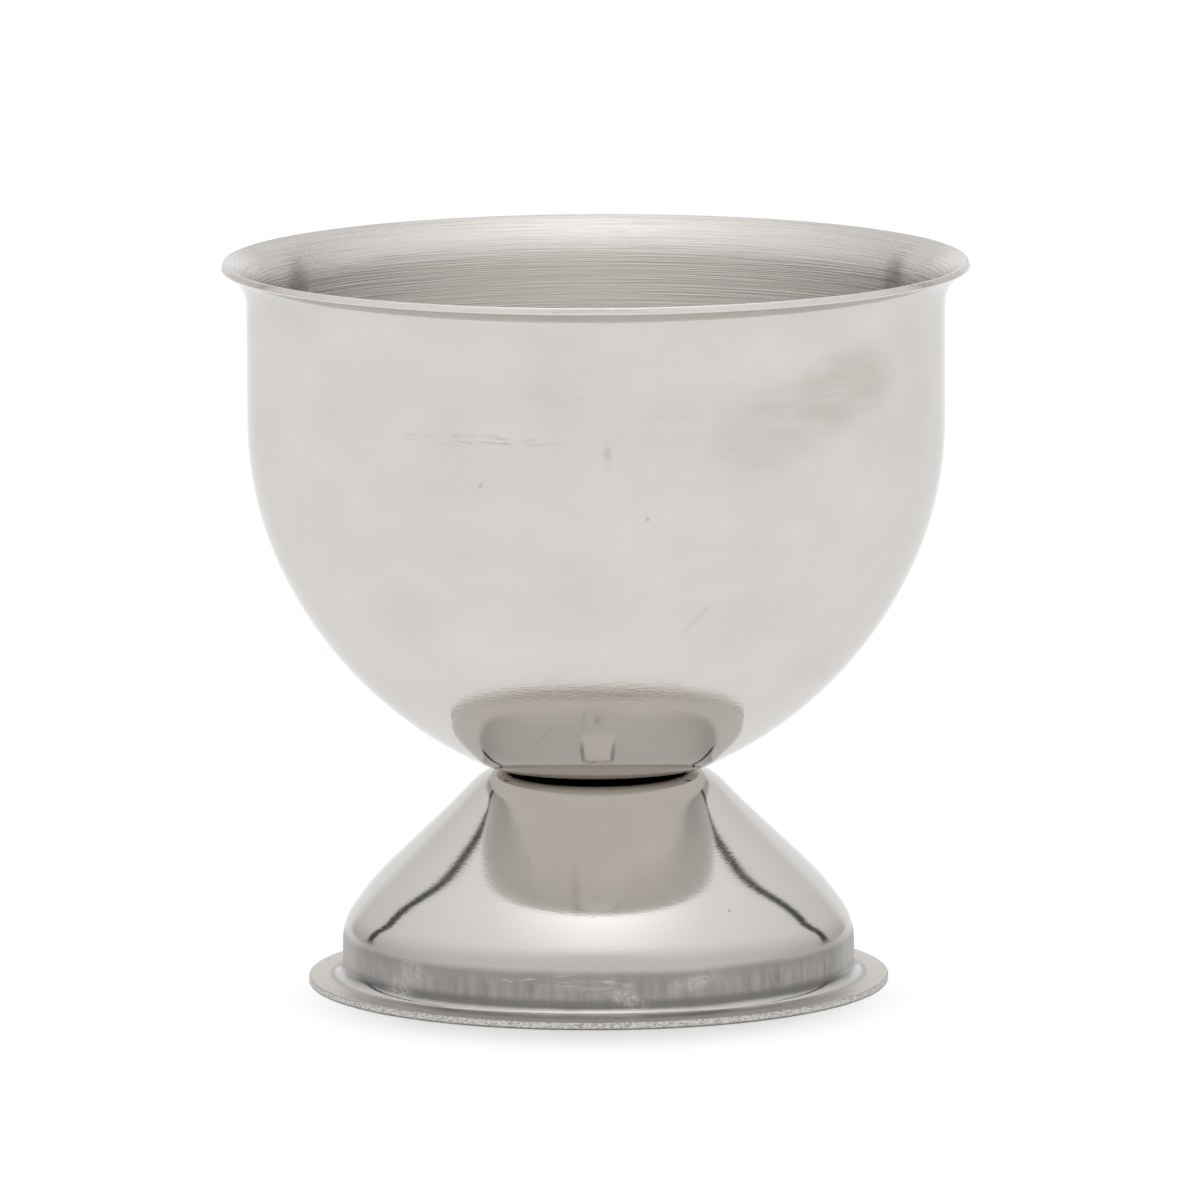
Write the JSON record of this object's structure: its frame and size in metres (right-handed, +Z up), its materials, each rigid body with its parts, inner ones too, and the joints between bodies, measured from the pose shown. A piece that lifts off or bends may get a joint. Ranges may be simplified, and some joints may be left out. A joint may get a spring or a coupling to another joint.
{
  "type": "egg cup",
  "caption": "Pressed stainless steel egg cup: deep round bowl with a small flared lip, spot-welded to a bell-shaped foot with a flat flange; holds a boiled egg upright.",
  "frame": {"origin": "centre of the foot's flange on the surface that the cup stands on", "axes": "+Z up along the axis of revolution, out of the bowl's mouth; -Y faces the picture's camera"},
  "size_m": [0.05, 0.05, 0.0487],
  "materials": {
    "bowl_steel": "satin stainless with fine brushing round the axis, coarser inside",
    "foot_steel": "bright stainless, scuffed by the die on the upright band and the flange",
    "weld_steel": "fused sheet, not seen"
  },
  "bodies": {
    "root": {"bowl": "bowl_steel", "foot": "foot_steel", "spot_welds": "weld_steel"}
  },
  "joints": []
}
